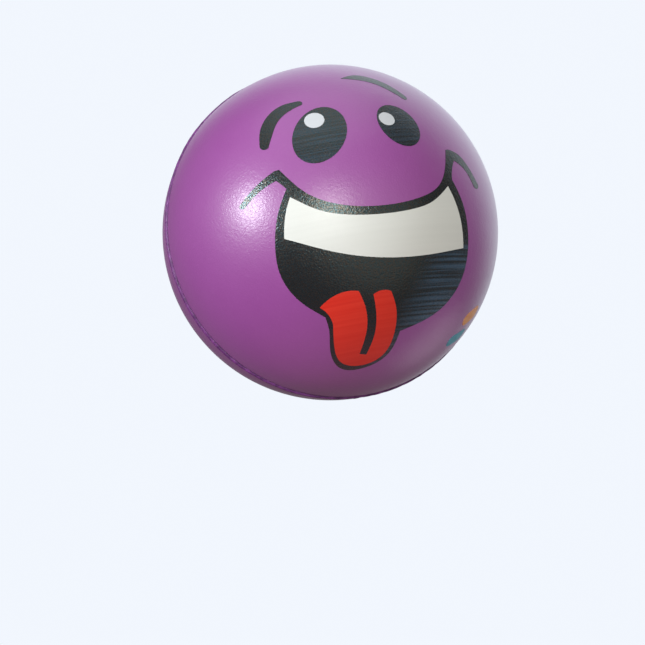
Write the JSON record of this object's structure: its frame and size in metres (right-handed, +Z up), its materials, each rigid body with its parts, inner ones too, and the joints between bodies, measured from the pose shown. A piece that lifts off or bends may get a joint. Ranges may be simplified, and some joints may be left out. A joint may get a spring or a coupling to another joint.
{
  "type": "stress ball",
  "caption": "Round squeezable foam stress ball with a moulded skin, a parting line round it and a printed laughing face with its tongue out",
  "frame": {"origin": "centre of the ball, in the plane of its parting line", "axes": "-Y out of the printed face, which is the front; +Z up the face, from mouth to eyes; +X to the right of someone who looks at the face; the parting line lies in the XZ plane"},
  "size_m": [0.0708, 0.07, 0.0708],
  "materials": {
    "foam": "matte",
    "skin": "satin",
    "black_ink": "satin",
    "white_ink": "satin",
    "red_ink": "satin",
    "orange_ink": "satin",
    "teal_ink": "satin"
  },
  "bodies": {
    "back_half": {"back_skin": "skin", "foam_core": "foam", "parting_bead": "skin"},
    "front_half": {"front_skin": "skin", "left_brow": "black_ink", "right_brow": "black_ink", "left_eye": "black_ink", "right_eye": "black_ink", "mouth": "black_ink", "left_cheek_line": "black_ink", "right_cheek_line": "black_ink", "left_eye_glint": "white_ink", "right_eye_glint": "white_ink", "teeth": "white_ink", "tongue": "red_ink", "upper_side_mark": "orange_ink", "lower_side_mark": "teal_ink"}
  },
  "joints": [
    {"name": "squeeze", "type": "slide", "parent": "back_half", "child": "front_half", "axis": [0, 1, 0], "range_m": [0, 0.025], "stiffness_N_per_m": 2500, "deforming": ["foam_core", "back_skin", "parting_bead", "front_skin"]}
  ]
}
